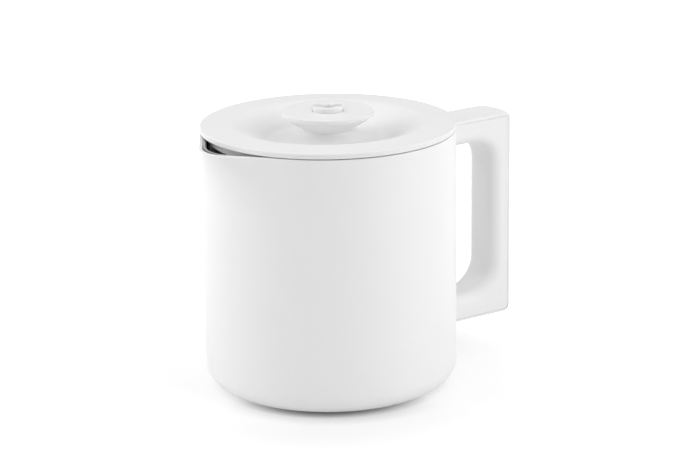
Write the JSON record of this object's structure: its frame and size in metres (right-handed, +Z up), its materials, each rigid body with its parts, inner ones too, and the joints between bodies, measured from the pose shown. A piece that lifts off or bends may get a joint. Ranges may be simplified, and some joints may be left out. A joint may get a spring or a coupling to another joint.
{
  "type": "thermal carafe",
  "caption": "Double-walled white carafe with a pouring beak, a C-shaped handle and a flush dished lid that lifts off and has a sprung brew-through valve in its knob.",
  "frame": {"origin": "on the floor, under the vessel's axis, at the centre of the base pad", "axes": "+Z up along the vessel's axis, +X towards the handle, -X towards the pouring beak"},
  "size_m": [0.2107, 0.148, 0.1656],
  "materials": {
    "white_paint": "satin white coating",
    "white_plastic": "fine satin",
    "steel": "drawn and polished",
    "silicone": "matte",
    "grey_plastic": "matte",
    "sealing_bead": "glassy"
  },
  "bodies": {
    "vessel": {"outer_shell": "white_paint", "inner_liner": "steel", "flask_bottom": "steel", "evacuation_seal": "sealing_bead", "getter": "steel", "base_cover": "white_plastic", "base_pad": "silicone", "upper_bracket": "steel", "lower_bracket": "steel", "handle_grip": "white_plastic", "handle_cover": "white_plastic", "handle_screws": "steel"},
    "gasket": {"lid_gasket": "silicone"},
    "lid": {"lid_plug": "white_plastic", "plug_floor": "white_plastic", "cover_seal": "silicone", "lid_cover": "white_plastic", "knob_cap": "white_plastic", "knob_nut": "grey_plastic", "valve_spring": "steel"},
    "valve": {"valve_plunger": "white_plastic", "valve_seal": "silicone", "valve_foot": "grey_plastic"}
  },
  "joints": [
    {"name": "lid_lift", "type": "slide", "parent": "vessel", "child": "gasket", "axis": [0, 0, 1], "range_m": [0, 0.06]},
    {"name": "lid_turn", "type": "hinge", "parent": "gasket", "child": "lid", "pos_m": [0, 0, 0.125], "axis": [0, 0, 1], "continuous": true},
    {"name": "valve_press", "type": "slide", "parent": "lid", "child": "valve", "axis": [0, 0, 1], "range_m": [-0.0025, 0], "stiffness_N_per_m": 400, "springref_m": 0.005, "deforming": ["valve_spring"]}
  ]
}
